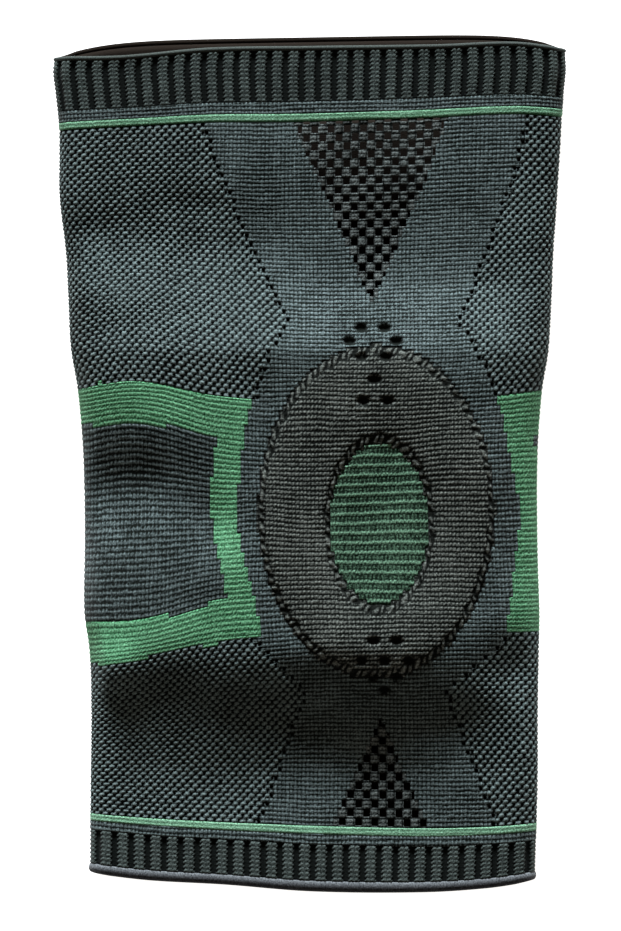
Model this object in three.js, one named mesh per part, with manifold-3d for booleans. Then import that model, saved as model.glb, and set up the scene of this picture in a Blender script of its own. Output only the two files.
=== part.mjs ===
// A knitted knee sleeve, lying flat on its back: +Y is the thigh end, +Z the kneecap side.
// The sleeve is one flattened tube of cloth, divided into its knitted zones.
import * as THREE from 'three';
import { mergeGeometries, mergeVertices } from 'three/addons/utils/BufferGeometryUtils.js';
import Module from 'manifold-3d';

const wasm = await Module();
wasm.setup();

// Driving sizes, in millimetres
const sleeveLength = 282;
const sleeveWidth = 169;
const foldHeight = 13;
const kneeRise = 11;
const clothThickness = 2;
const seamGap = 0.3;

// The padded oval round the kneecap, and the thin window inside it
const ringWidth = 78;
const ringLength = 110;
const ringX = 21.9;
const ringY = -16;
const padRise = 1.3;
const padFlatness = 0.35;
const windowWidth = 32;
const windowLength = 52.5;
const windowX = 22.8;
const windowY = -20;

// The edges at both ends
const upperHemHeight = 1.5;
const lowerHemHeight = 3.4;
const hemSwell = 0.45;
const upperCuffHeight = 17.1;
const lowerCuffHeight = 11.6;
const upperRibsPerFace = 33;
const lowerRibsPerFace = 28;
const ribShare = 0.62;
const ribDepth = 0.6;
const upperBorderHeight = 4;
const lowerBorderHeight = 3.4;
const stripeHeight = 2.6;

// The open work of the two vents
const meshPitchX = 4.87;
const meshPitchY = 5.5;
const meshHoleWidth = 2.3;
const meshHoleLength = 2;
const meshMargin = 3.6;

// How finely the surfaces are divided
const foldTurn = 0.03;
const foldColumns = 2;
const runColumns = 12;
const ovalSpokes = 28;

const halfWidth = sleeveWidth / 2;
const foldRadius = foldHeight / 2;
const tallest = foldHeight + kneeRise + padRise;

// A table is written as its column names and its rows, and read as a list of named rows
function table(columns, ...rows) {
  return rows.map((row) => Object.fromEntries(columns.map((name, place) => [name, row[place]])));
}

// The side folds seen from above: up is a share of the length, left and right of the half width
const silhouette = table(['up', 'left', 'right'],
  [-0.500, -0.849, 0.872],
  [-0.474, -0.856, 0.880],
  [-0.358, -0.853, 0.887],
  [-0.265, -0.853, 0.887],
  [-0.218, -0.860, 0.891],
  [-0.171, -0.880, 0.895],
  [-0.078, -0.876, 0.888],
  [0.015, -0.884, 0.888],
  [0.085, -0.903, 0.907],
  [0.132, -0.926, 0.930],
  [0.225, -0.946, 0.946],
  [0.318, -0.973, 0.969],
  [0.392, -0.977, 0.981],
  [0.435, -0.992, 0.992],
  [0.458, -1.000, 1.000],
  [0.481, -0.989, 0.996],
  [0.500, -0.985, 0.993]);

// How high the front stands over the side folds, down its middle, as a share of the knee's rise
const profile = table(['up', 'rise'],
  [-0.500, 0.05],
  [-0.427, 0.03],
  [-0.375, -0.02],
  [-0.345, 0.01],
  [-0.300, 0.25],
  [-0.252, 0.77],
  [-0.215, 0.98],
  [-0.150, 0.99],
  [0.020, 0.99],
  [0.126, 0.99],
  [0.143, 0.88],
  [0.160, 0.71],
  [0.196, 0.33],
  [0.213, 0.20],
  [0.260, 0.09],
  [0.330, 0.07],
  [0.500, 0.05]);

// How that height falls off to the sides, from the left fold at 0 to the right fold at 1
const dome = table(['across', 'share'],
  [0.00, 0.00],
  [0.04, 0.34],
  [0.10, 0.66],
  [0.20, 0.84],
  [0.34, 0.93],
  [0.48, 0.98],
  [0.64, 1.00],
  [0.80, 0.97],
  [0.90, 0.76],
  [0.96, 0.34],
  [1.00, 0.00]);

// Soft dents and folds of the front, with their height as a share of the knee's rise
const dents = table(['across', 'up', 'acrossReach', 'upReach', 'height'],
  [0.10, -0.030, 0.16, 0.054, -0.38],
  [0.27, -0.068, 0.06, 0.035, -0.17],
  [0.65, -0.071, 0.13, 0.100, -0.14],
  [0.12, 0.200, 0.17, 0.034, 0.15],
  [0.16, -0.262, 0.15, 0.030, -0.10],
  [0.94, -0.235, 0.09, 0.035, -0.24],
  [0.86, -0.350, 0.17, 0.070, 0.16],
  [0.05, -0.240, 0.07, 0.032, 0.26],
  [0.55, -0.215, 0.14, 0.022, 0.05],
  [0.26, 0.262, 0.24, 0.050, -0.11],
  [0.27, 0.300, 0.07, 0.018, -0.06],
  [0.08, 0.272, 0.09, 0.020, -0.05]);

// Lines that the courses of stitches follow over the front, as shares of the length:
// along counts the cloth from the calf edge to the thigh edge, and back is the line's place
// in the middle of the back. The back's lines bend only near the folds, most sharply at the right one.
const backBend = { left: 6, right: 7 };
const courseStations = [0, 0.13, 0.3, 0.5, 0.75, 0.9, 1];
const courses = table(['along', 'front', 'back'],
  [0.000, [-0.478, -0.486, -0.491, -0.499, -0.500, -0.495, -0.487], -0.488],
  [0.074, [-0.409, -0.414, -0.419, -0.423, -0.426, -0.424, -0.420], -0.414],
  [0.305, [-0.234, -0.224, -0.207, -0.199, -0.197, -0.197, -0.197], -0.215],
  [0.352, [-0.186, -0.182, -0.159, -0.153, -0.155, -0.157, -0.156], -0.171],
  [0.527, [0.042, 0.048, 0.026, 0.020, 0.027, 0.031, 0.035], 0.038],
  [0.579, [0.086, 0.095, 0.078, 0.071, 0.073, 0.078, 0.085], 0.086],
  [0.915, [0.392, 0.396, 0.401, 0.402, 0.407, 0.411, 0.408], 0.404],
  [1.000, [0.474, 0.475, 0.484, 0.486, 0.488, 0.491, 0.484], 0.4981]);

// A smooth curve through a row of values, each slope taken from the two neighbours,
// and straight on past both ends
function smoothThrough(places, values, at) {
  const last = places.length - 1;
  const slope = (i) => {
    const before = Math.max(i - 1, 0);
    const after = Math.min(i + 1, last);
    return (values[after] - values[before]) / (places[after] - places[before]);
  };
  if (at <= places[0]) return values[0] + slope(0) * (at - places[0]);
  if (at >= places[last]) return values[last] + slope(last) * (at - places[last]);
  const i = places.findIndex((place) => place > at) - 1;
  const span = places[i + 1] - places[i];
  const t = (at - places[i]) / span;
  return (2 * t ** 3 - 3 * t ** 2 + 1) * values[i]
    + (t ** 3 - 2 * t ** 2 + t) * span * slope(i)
    + (3 * t ** 2 - 2 * t ** 3) * values[i + 1]
    + (t ** 3 - t ** 2) * span * slope(i + 1);
}

function column(rows, name) {
  return rows.map((row) => row[name]);
}

// The two side folds at a place along the sleeve
function foldsAt(y) {
  const up = y / sleeveLength;
  const places = column(silhouette, 'up');
  return {
    left: halfWidth * smoothThrough(places, column(silhouette, 'left'), up),
    right: halfWidth * smoothThrough(places, column(silhouette, 'right'), up),
  };
}

// The height of the front cloth over the floor at a point seen from above
function clothHeight(x, y) {
  const folds = foldsAt(y);
  const across = THREE.MathUtils.clamp((x - folds.left) / (folds.right - folds.left), 0, 1);
  const up = y / sleeveLength;
  const falloff = smoothThrough(column(dome, 'across'), column(dome, 'share'), across);
  let rise = falloff * smoothThrough(column(profile, 'up'), column(profile, 'rise'), up);
  for (const dent of dents) {
    const distance = Math.hypot((across - dent.across) / dent.acrossReach, (up - dent.up) / dent.upReach);
    rise += dent.height * Math.exp(-(distance ** 2)) * Math.min(1, falloff / 0.3);
  }
  return foldHeight + kneeRise * rise;
}

// Where a course of stitches lies, at a share of the way from the left fold to the right one
function courseY(along, across, isFront) {
  const places = column(courses, 'along');
  if (isFront) {
    const values = courses.map((course) => smoothThrough(courseStations, course.front, across));
    return sleeveLength * smoothThrough(places, values, along);
  }
  const bow = 1 - Math.abs(2 * across - 1) ** (across < 0.5 ? backBend.left : backBend.right);
  const values = courses.map((course) => {
    const left = course.front[0];
    const right = course.front[course.front.length - 1];
    return THREE.MathUtils.lerp(left, right, across) + bow * (course.back - (left + right) / 2);
  });
  return sleeveLength * smoothThrough(places, values, along);
}

// A point of the tube. turn goes once round the section, from the left fold over the front to the
// right fold at 0.5 and back underneath; inset is the depth below the outer face. The end of each
// face, a share of foldTurn, bends round a quarter of the fold.
function tubePoint(turn, along, inset) {
  const isFront = turn <= 0.5;
  const faceTurn = isFront ? turn : 1 - turn;
  const isLeft = faceTurn < 0.25;
  const fromFold = isLeft ? faceTurn : 0.5 - faceTurn;
  const angle = Math.PI / 2 * Math.min(1, fromFold / foldTurn);
  const bend = foldRadius * (1 - Math.cos(angle));
  const runShare = Math.max(0, fromFold - foldTurn) / (0.5 - 2 * foldTurn);
  const nominal = foldsAt(sleeveLength * (along - 0.5));
  const nominalWidth = nominal.right - nominal.left;
  const nearShare = bend / nominalWidth + runShare * (1 - foldHeight / nominalWidth);
  const across = isLeft ? nearShare : 1 - nearShare;
  const y = courseY(along, across, isFront);
  const folds = foldsAt(y);
  const outerX = THREE.MathUtils.lerp(folds.left, folds.right, across);
  const x = outerX + (isLeft ? inset : -inset) * Math.cos(angle);
  const lift = (foldRadius - inset) * Math.sin(angle);
  const rise = clothHeight(outerX, y) - foldHeight;
  const z = isFront ? foldRadius + lift + rise : Math.max(0, foldRadius - lift);
  return new THREE.Vector3(x, y, z);
}

// A closed mesh, as a solid that can be cut
function solidOf(coordinates, triangles) {
  return new wasm.Manifold(new wasm.Mesh({
    numProp: 3,
    vertProperties: new Float32Array(coordinates),
    triVerts: new Uint32Array(triangles),
  }));
}

const weldDistance = 1e-4;
function solidFromGeometry(geometry) {
  geometry.deleteAttribute('normal');
  geometry.deleteAttribute('uv');
  const merged = mergeVertices(geometry, weldDistance);
  return solidOf(merged.attributes.position.array, merged.index.array);
}

// A ring of cloth: the cross-section of its wall, a closed run of { along, inset } points, carried
// round the tube. turns are the columns of one face, and grooveAt deepens the outer points of one.
function sweptRing(section, faceTurns, grooveAt = () => 0) {
  const last = faceTurns.length - 1;
  const turns = [...faceTurns.slice(0, last), ...faceTurns.slice(1).reverse().map((turn) => 1 - turn)];
  const size = section.length;
  const coordinates = turns.flatMap((turn, i) => {
    const groove = grooveAt(i <= last ? i : turns.length - i);
    return section.flatMap(({ along, inset }) => {
      const depth = inset < clothThickness ? inset + groove : inset;
      return tubePoint(turn, along, depth).toArray();
    });
  });
  const triangles = [];
  turns.forEach((_, i) => {
    for (let place = 0; place < size; place++) {
      const a = i * size + place;
      const b = i * size + (place + 1) % size;
      const c = (i + 1) % turns.length * size + place;
      const d = (i + 1) % turns.length * size + (place + 1) % size;
      triangles.push(a, c, b, b, c, d);
    }
  });
  return solidOf(coordinates, triangles);
}

// The columns of one face: a few round each fold and even ones between
function evenly(from, to, count) {
  return Array.from({ length: count + 1 }, (_, i) => THREE.MathUtils.lerp(from, to, i / count));
}
const plainTurns = [
  ...evenly(0, foldTurn, foldColumns),
  ...evenly(foldTurn, 0.5 - foldTurn, runColumns).slice(1, -1),
  ...evenly(0.5 - foldTurn, 0.5, foldColumns),
];

// The cross-section of a plain wall through a list of levels
function plainSection(alongs) {
  const outer = alongs.map((along) => ({ along, inset: 0 }));
  const inner = alongs.map((along) => ({ along, inset: clothThickness }));
  return [...outer, ...inner.reverse()];
}

// The levels where the edge pieces meet, counted from both ends in shares of the length
const gapShare = seamGap / sleeveLength / 2;
const upperLevels = [upperHemHeight, upperCuffHeight, upperBorderHeight, stripeHeight];
const lowerLevels = [lowerHemHeight, lowerCuffHeight, lowerBorderHeight, stripeHeight];
function stacked(heights) {
  const levels = [0];
  for (const height of heights) {
    levels.push(levels[levels.length - 1] + height / sleeveLength);
  }
  return levels;
}
const fromCalfEdge = stacked(lowerLevels);
const fromThighEdge = stacked(upperLevels).map((share) => 1 - share);

function edgeEnds(levels, index) {
  const low = Math.min(levels[index], levels[index + 1]);
  const high = Math.max(levels[index], levels[index + 1]);
  return [low + gapShare, high - gapShare];
}

// A rolled hem swells out past the cloth and rounds off at its free edge
const hemRoll = [0, hemSwell, hemSwell, -hemSwell];
function hem(levels, freeEdgeIsHigh) {
  const [low, high] = edgeEnds(levels, 0);
  const roll = freeEdgeIsHigh ? hemRoll : [...hemRoll].reverse();
  const alongs = evenly(low, high, roll.length - 1);
  const outer = alongs.map((along, i) => ({ along, inset: -roll[i] }));
  const inner = [high, low].map((along) => ({ along, inset: clothThickness }));
  return sweptRing([...outer, ...inner], plainTurns);
}

// A cuff of ribs: each rib is a flat bar, and the groove beside it runs to a sharp floor
function ribbedCuff(levels, ribsPerFace) {
  const places = [];
  for (let rib = 0; rib < ribsPerFace; rib++) {
    const start = rib + (1 - ribShare) / 2;
    places.push(rib, start, start + ribShare);
  }
  places.push(ribsPerFace);
  const turns = places.map((place) => 0.5 * place / ribsPerFace);
  const grooveAt = (i) => (Number.isInteger(places[i]) ? ribDepth : 0);
  return sweptRing(plainSection(edgeEnds(levels, 1)), turns, grooveAt);
}

function plainEdge(levels, index) {
  return sweptRing(plainSection(edgeEnds(levels, index)), plainTurns);
}

// Outlines of the zones seen from above, a row for each corner:
// across is a share of the half width, up a share of the length
const corner = ['across', 'up'];
const bandOutline = table(corner,
  [-0.425, 0.400], [-0.355, 0.337], [-0.243, 0.263], [-0.142, 0.193], [-0.083, 0.168],
  [-0.165, 0.126], [-0.212, 0.077], [-0.285, 0.030], [-0.300, -0.070], [-0.285, -0.160],
  [-0.215, -0.206], [-0.018, -0.265], [-0.212, -0.430],
  [0.740, -0.430], [0.534, -0.265], [0.765, -0.206], [0.850, -0.140], [0.850, 0.030],
  [0.724, 0.077], [0.705, 0.097], [0.639, 0.143], [0.573, 0.165],
  [0.615, 0.189], [0.678, 0.233], [0.748, 0.292], [0.806, 0.339], [0.860, 0.410]);
const upperVentOutline = table(corner,
  [-0.080, 0.410], [0.243, 0.186], [0.270, 0.205], [0.363, 0.271], [0.456, 0.334], [0.540, 0.410]);
const lowerVentOutline = table(corner,
  [0.080, -0.430], [0.468, -0.430], [0.274, -0.297]);
const leftFrameOutline = table(corner,
  [-1.100, 0.086], [-0.896, 0.086], [-0.810, 0.093], [-0.651, 0.096], [-0.557, 0.090], [-0.414, 0.082],
  [-0.223, 0.072], [-0.239, 0.058], [-0.262, 0.017], [-0.278, -0.035], [-0.282, -0.070], [-0.262, -0.106],
  [-0.231, -0.142], [-0.188, -0.193], [-0.192, -0.199], [-0.352, -0.209], [-0.495, -0.216],
  [-0.604, -0.223], [-0.709, -0.232], [-0.849, -0.234], [-1.100, -0.234]);
const rightFrameOutline = table(corner,
  [1.100, 0.085], [0.895, 0.085], [0.829, 0.083], [0.728, 0.077], [0.755, 0.050], [0.783, -0.001],
  [0.817, -0.042], [0.817, -0.077], [0.802, -0.112], [0.783, -0.161], [0.763, -0.190],
  [0.763, -0.197], [1.100, -0.197]);
const leftPanelOutline = table(corner,
  [-1.100, 0.042], [-0.888, 0.042], [-0.779, 0.046], [-0.651, 0.048], [-0.476, 0.037], [-0.359, 0.026],
  [-0.375, 0.006], [-0.386, -0.042], [-0.379, -0.082], [-0.344, -0.118], [-0.324, -0.154],
  [-0.336, -0.158], [-0.414, -0.165], [-0.495, -0.173], [-0.635, -0.182], [-0.872, -0.186], [-1.100, -0.186]);
const rightPanelOutline = table(corner,
  [1.100, 0.034], [0.857, 0.031], [0.870, 0.020], [0.888, 0.006], [1.100, 0.006]);
const backFrameOutline = table(corner,
  [-1.100, 0.086], [1.100, 0.085], [1.100, -0.197], [-1.100, -0.234]);
const backPanelOutline = table(corner,
  [-1.100, 0.042], [1.100, 0.034], [1.100, 0.006], [0.870, -0.002], [0.850, -0.157], [-1.100, -0.186]);

function pointsOf(outline) {
  return outline.map((row) => new THREE.Vector2(row.across * halfWidth, row.up * sleeveLength));
}

function oval(centreX, centreY, width, length) {
  const turnOf = (i) => 2 * Math.PI * i / ovalSpokes;
  return Array.from({ length: ovalSpokes }, (_, i) => new THREE.Vector2(
    centreX + width / 2 * Math.cos(turnOf(i)),
    centreY + length / 2 * Math.sin(turnOf(i))));
}

// The outline moved outwards by a distance, corner by corner; the sharpest ones move less
const sharpest = 0.35;
function grown(points, distance) {
  const isTurnedLeft = THREE.ShapeUtils.area(points) > 0;
  return points.map((point, i) => {
    const before = points[(i + points.length - 1) % points.length];
    const after = points[(i + 1) % points.length];
    const inward = point.clone().sub(before).normalize();
    const outward = after.clone().sub(point).normalize();
    const sign = isTurnedLeft ? 1 : -1;
    const bisector = new THREE.Vector2(inward.y + outward.y, -inward.x - outward.x).normalize();
    bisector.multiplyScalar(sign);
    const normal = new THREE.Vector2(outward.y, -outward.x).multiplyScalar(sign);
    return point.clone().addScaledVector(bisector, distance / Math.max(sharpest, bisector.dot(normal)));
  });
}

function uprightPrism(points, low, high) {
  const geometry = new THREE.ExtrudeGeometry(new THREE.Shape(points), {
    depth: high - low,
    bevelEnabled: false,
  });
  geometry.translate(0, 0, low);
  return solidFromGeometry(geometry);
}

// Regions of cloth: the front lies over the middle of the folds, the back under it
const frontTop = tallest + foldHeight;
function frontRegion(points) {
  return (growth) => uprightPrism(grown(points, growth), foldRadius, frontTop);
}

function backRegion(points) {
  return (growth) => uprightPrism(grown(points, growth), -foldHeight, foldRadius);
}

function joined(...regions) {
  return (growth) => regions.map((region) => region(growth)).reduce((all, one) => all.add(one));
}

// A patch of the front between two ovals. Its top is raised over the cloth by topRise, and its
// underside lies at the cloth's inner face.
function ovalPatch(outer, inner, rings, topRise) {
  const at = (spoke, share) => inner[spoke].clone().lerp(outer[spoke], share);
  const points = [];
  for (let ring = 0; ring <= rings; ring++) {
    for (let spoke = 0; spoke < outer.length; spoke++) {
      const plan = at(spoke, ring / rings);
      points.push(new THREE.Vector3(plan.x, plan.y, clothHeight(plan.x, plan.y) + topRise(ring / rings)));
    }
  }
  const under = points.length;
  for (let index = 0; index < under; index++) {
    const { x, y } = points[index];
    points.push(new THREE.Vector3(x, y, clothHeight(x, y) - clothThickness));
  }
  const triangles = [];
  const quad = (a, b, c, d) => triangles.push(a, b, c, a, c, d);
  const count = outer.length;
  for (let spoke = 0; spoke < count; spoke++) {
    const next = (spoke + 1) % count;
    for (let ring = 0; ring < rings; ring++) {
      const here = ring * count;
      const beyond = here + count;
      quad(here + spoke, beyond + spoke, beyond + next, here + next);
      quad(under + here + next, under + beyond + next, under + beyond + spoke, under + here + spoke);
    }
    const rim = rings * count;
    quad(rim + spoke, under + rim + spoke, under + rim + next, rim + next);
    quad(next, under + next, under + spoke, spoke);
  }
  return solidOf(points.flatMap((point) => point.toArray()), triangles);
}

const ringOval = oval(ringX, ringY, ringWidth, ringLength);
const windowOval = oval(windowX, windowY, windowWidth, windowLength);

// The pad stands up quickly at both edges of the ring and is nearly flat between them
const padRings = 5;
function padHeight(share) {
  return padRise * Math.sin(Math.PI * share) ** padFlatness;
}

function patellaRing() {
  return ovalPatch(ringOval, grown(windowOval, seamGap), padRings, padHeight);
}

// The holes of an open-work panel, in alternate rows, wherever a whole hole fits in the outline
function isInside(points, place) {
  let inside = false;
  points.forEach((point, i) => {
    const next = points[(i + 1) % points.length];
    const spans = point.y > place.y !== next.y > place.y;
    if (spans && place.x < point.x + (next.x - point.x) * (place.y - point.y) / (next.y - point.y)) {
      inside = !inside;
    }
  });
  return inside;
}

function meshHoles(points, lowest, highest) {
  const field = grown(points, -meshMargin);
  const boxes = [];
  const rowsEachWay = Math.ceil(sleeveLength / meshPitchY);
  const columnsEachWay = Math.ceil(sleeveWidth / meshPitchX);
  for (let row = -rowsEachWay; row <= rowsEachWay; row++) {
    for (let place = -columnsEachWay; place <= columnsEachWay; place++) {
      const x = windowX + (place + (row % 2 === 0 ? 0 : 0.5)) * meshPitchX;
      const y = row * meshPitchY / 2;
      if (y > lowest && y < highest && isInside(field, new THREE.Vector2(x, y))) {
        const box = new THREE.BoxGeometry(meshHoleWidth, meshHoleLength, frontTop - foldRadius);
        boxes.push(box.translate(x, y, (frontTop + foldRadius) / 2).toNonIndexed());
      }
    }
  }
  return solidFromGeometry(mergeGeometries(boxes));
}

const bodyLow = fromCalfEdge[fromCalfEdge.length - 1];
const bodyHigh = fromThighEdge[fromThighEdge.length - 1];
const bodyLowY = courseY(bodyLow, 0, true);
const bodyHighY = courseY(bodyHigh, 0, true);

// Halves of the body cloth, above and below the middle of the frame
const frameMiddle = -0.07 * sleeveLength;
function halfRegion(sign) {
  const far = sign * sleeveLength;
  const corners = [[-1, 0], [1, 0], [1, 1], [-1, 1]];
  const points = corners.map(([side, end]) => new THREE.Vector2(side * sleeveWidth, frameMiddle + end * far));
  return () => uprightPrism(points, -foldHeight, frontTop);
}

// The zones of the body cloth, the one on top first: each keeps clear of those before it.
// The cloth under the ring isn't used, because the ring is a thicker piece of its own.
const zones = [
  { name: 'patella_window', region: frontRegion(windowOval) },
  { name: 'under_ring', region: frontRegion(ringOval) },
  {
    name: 'back_panel',
    region: joined(
      frontRegion(pointsOf(leftPanelOutline)),
      frontRegion(pointsOf(rightPanelOutline)),
      backRegion(pointsOf(backPanelOutline))),
  },
  {
    name: 'side_frame',
    region: joined(
      frontRegion(pointsOf(leftFrameOutline)),
      frontRegion(pointsOf(rightFrameOutline)),
      backRegion(pointsOf(backFrameOutline))),
  },
  { name: 'upper_vent', region: frontRegion(pointsOf(upperVentOutline)) },
  { name: 'lower_vent', region: frontRegion(pointsOf(lowerVentOutline)) },
  { name: 'front_band', region: frontRegion(pointsOf(bandOutline)) },
  { name: 'thigh_panel', region: halfRegion(1) },
  { name: 'calf_panel', region: halfRegion(-1) },
];

function bodyPieces() {
  const low = bodyLow + gapShare;
  const high = bodyHigh - gapShare;
  const between = column(profile, 'up').map((up) => up + 0.5).filter((along) => along > low && along < high);
  let rest = sweptRing(plainSection([low, ...between, high]), plainTurns);
  const pieces = {};
  for (const zone of zones) {
    pieces[zone.name] = rest.intersect(zone.region(0));
    rest = rest.subtract(zone.region(seamGap));
  }
  return pieces;
}

function openWork(piece, outline) {
  return piece.subtract(meshHoles(pointsOf(outline), bodyLowY + meshMargin, bodyHighY - meshMargin));
}

function material(colour, roughness) {
  return new THREE.MeshStandardMaterial({ color: colour, roughness, metalness: 0 });
}

const greyKnit = material(0x49524f, 0.9);
const plainKnit = material(0x535c5a, 0.88);
const openKnit = material(0x3d4441, 0.9);
const ribKnit = material(0x3b4340, 0.92);
const padKnit = material(0x4b504d, 0.88);
const windowKnit = material(0x4f6e58, 0.88);
const greenKnit = material(0x5c8f6e, 0.88);
const stripeKnit = material(0x74a583, 0.86);
const darkEdge = material(0x2a2622, 0.92);
const greyEdge = material(0x55585b, 0.9);

function meshOf(name, solid, knit) {
  const { numProp, vertProperties, triVerts } = solid.getMesh();
  const geometry = new THREE.BufferGeometry();
  const positions = new Float32Array(vertProperties.length / numProp * 3);
  for (let vertex = 0; vertex < vertProperties.length / numProp; vertex++) {
    positions.set(vertProperties.subarray(vertex * numProp, vertex * numProp + 3), vertex * 3);
  }
  geometry.setAttribute('position', new THREE.BufferAttribute(positions, 3));
  geometry.setIndex(new THREE.BufferAttribute(new Uint32Array(triVerts), 1));
  geometry.computeVertexNormals();
  const mesh = new THREE.Mesh(geometry, knit);
  mesh.name = name;
  return mesh;
}

function kneeSleeve() {
  const sleeve = new THREE.Group();
  sleeve.name = 'knee_sleeve';
  const body = bodyPieces();
  sleeve.add(
    meshOf('upper_hem', hem(fromThighEdge, true), darkEdge),
    meshOf('upper_cuff', ribbedCuff(fromThighEdge, upperRibsPerFace), ribKnit),
    meshOf('upper_border', plainEdge(fromThighEdge, 2), greyKnit),
    meshOf('upper_stripe', plainEdge(fromThighEdge, 3), stripeKnit),
    meshOf('thigh_panel', body.thigh_panel, greyKnit),
    meshOf('upper_vent', openWork(body.upper_vent, upperVentOutline), openKnit),
    meshOf('front_band', body.front_band, plainKnit),
    meshOf('patella_ring', patellaRing(), padKnit),
    meshOf('patella_window', body.patella_window, windowKnit),
    meshOf('side_frame', body.side_frame, greenKnit),
    meshOf('back_panel', body.back_panel, plainKnit),
    meshOf('lower_vent', openWork(body.lower_vent, lowerVentOutline), openKnit),
    meshOf('calf_panel', body.calf_panel, greyKnit),
    meshOf('lower_stripe', plainEdge(fromCalfEdge, 3), stripeKnit),
    meshOf('lower_border', plainEdge(fromCalfEdge, 2), greyKnit),
    meshOf('lower_cuff', ribbedCuff(fromCalfEdge, lowerRibsPerFace), ribKnit),
    meshOf('lower_hem', hem(fromCalfEdge, false), greyEdge),
  );
  return sleeve;
}

export default kneeSleeve();
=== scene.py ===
import math

import bpy
import numpy as np
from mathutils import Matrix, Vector
from mathutils.bvhtree import BVHTree


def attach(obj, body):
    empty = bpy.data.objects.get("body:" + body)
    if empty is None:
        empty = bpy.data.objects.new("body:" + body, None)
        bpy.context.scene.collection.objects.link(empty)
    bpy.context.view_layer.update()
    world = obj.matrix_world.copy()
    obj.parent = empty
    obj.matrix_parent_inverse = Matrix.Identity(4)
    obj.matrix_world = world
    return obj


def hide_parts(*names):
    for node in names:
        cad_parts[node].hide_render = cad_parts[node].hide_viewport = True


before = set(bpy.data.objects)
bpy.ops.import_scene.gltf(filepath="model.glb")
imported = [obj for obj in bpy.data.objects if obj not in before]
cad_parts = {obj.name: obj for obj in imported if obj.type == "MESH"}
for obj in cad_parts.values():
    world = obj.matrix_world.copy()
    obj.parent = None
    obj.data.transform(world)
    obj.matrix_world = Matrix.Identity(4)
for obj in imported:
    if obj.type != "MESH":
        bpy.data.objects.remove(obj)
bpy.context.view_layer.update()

mm = 0.001
print("frame loaded:", len(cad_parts), "nodes")

# The sleeve lies flat on its back, thigh end towards +Y. Sizes are in millimetres and are the solids' own.
sleeve = {
    "length": 282,
    "width": 169,
    "foldHeight": 13,
    "kneeRise": 11,
    "cloth": 2.0,
    "foldTurn": 0.03,          # share of the round that bends over a quarter of a side fold
    # up along the length, then the left and right folds as shares of the half width
    "silhouette": [
        (-0.500, -0.849, 0.872), (-0.474, -0.856, 0.880), (-0.358, -0.853, 0.887), (-0.265, -0.853, 0.887),
        (-0.218, -0.860, 0.891), (-0.171, -0.880, 0.895), (-0.078, -0.876, 0.888), (0.015, -0.884, 0.888),
        (0.085, -0.903, 0.907), (0.132, -0.926, 0.930), (0.225, -0.946, 0.946), (0.318, -0.973, 0.969),
        (0.392, -0.977, 0.981), (0.435, -0.992, 0.992), (0.458, -1.000, 1.000), (0.481, -0.989, 0.996),
        (0.500, -0.985, 0.993)],
    # up, then how far the front rises there, as a share of kneeRise
    "profile": [
        (-0.500, 0.05), (-0.427, 0.03), (-0.375, -0.02), (-0.345, 0.01), (-0.300, 0.25), (-0.252, 0.77),
        (-0.215, 0.98), (-0.150, 0.99), (0.020, 0.99), (0.126, 0.99), (0.143, 0.88), (0.160, 0.71),
        (0.196, 0.33), (0.213, 0.20), (0.260, 0.09), (0.330, 0.07), (0.500, 0.05)],
    # across from the left fold to the right one, then the share of that rise
    "dome": [
        (0.00, 0.00), (0.04, 0.34), (0.10, 0.66), (0.20, 0.84), (0.34, 0.93), (0.48, 0.98), (0.64, 1.00),
        (0.80, 0.97), (0.90, 0.76), (0.96, 0.34), (1.00, 0.00)],
    # across, up, reach across, reach up, height as a share of kneeRise
    "dents": [
        (0.10, -0.030, 0.16, 0.054, -0.38), (0.27, -0.068, 0.06, 0.035, -0.17),
        (0.65, -0.071, 0.13, 0.100, -0.14), (0.12, 0.200, 0.17, 0.034, 0.15),
        (0.16, -0.262, 0.15, 0.030, -0.10), (0.94, -0.235, 0.09, 0.035, -0.24),
        (0.86, -0.350, 0.17, 0.070, 0.16), (0.05, -0.240, 0.07, 0.032, 0.26),
        (0.55, -0.215, 0.14, 0.022, 0.05), (0.26, 0.262, 0.24, 0.050, -0.11),
        (0.27, 0.300, 0.07, 0.018, -0.06), (0.08, 0.272, 0.09, 0.020, -0.05)],
    "dentFade": 0.3,           # dents fade out beside the folds, where the dome is lower than this
    # along the cloth, the line of a course at each station across the front, and behind
    "stations": (0, 0.13, 0.3, 0.5, 0.75, 0.9, 1),
    "courses": [
        (0.000, (-0.478, -0.486, -0.491, -0.499, -0.500, -0.495, -0.487), -0.488),
        (0.074, (-0.409, -0.414, -0.419, -0.423, -0.426, -0.424, -0.420), -0.414),
        (0.305, (-0.234, -0.224, -0.207, -0.199, -0.197, -0.197, -0.197), -0.215),
        (0.352, (-0.186, -0.182, -0.159, -0.153, -0.155, -0.157, -0.156), -0.171),
        (0.527, (0.042, 0.048, 0.026, 0.020, 0.027, 0.031, 0.035), 0.038),
        (0.579, (0.086, 0.095, 0.078, 0.071, 0.073, 0.078, 0.085), 0.086),
        (0.915, (0.392, 0.396, 0.401, 0.402, 0.407, 0.411, 0.408), 0.404),
        (1.000, (0.474, 0.475, 0.484, 0.486, 0.488, 0.491, 0.484), 0.4981)],
    "backBend": (6, 7),        # how sharply the back's lines bend at the left and right folds
}
pad = {"x": 21.9, "y": -16, "width": 78, "length": 110, "rise": 1.3, "flatness": 0.35}
window = {"x": 22.8, "y": -20, "width": 32, "length": 52.5}
edges = {                      # heights of the pieces at both ends, from the free edge inwards
    "upper": {"hem": 1.5, "cuff": 17.1, "border": 4, "stripe": 2.6},
    "lower": {"hem": 3.4, "cuff": 11.6, "border": 3.4, "stripe": 2.6},
}


# the form of the sleeve, for whole arrays of points at once

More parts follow.
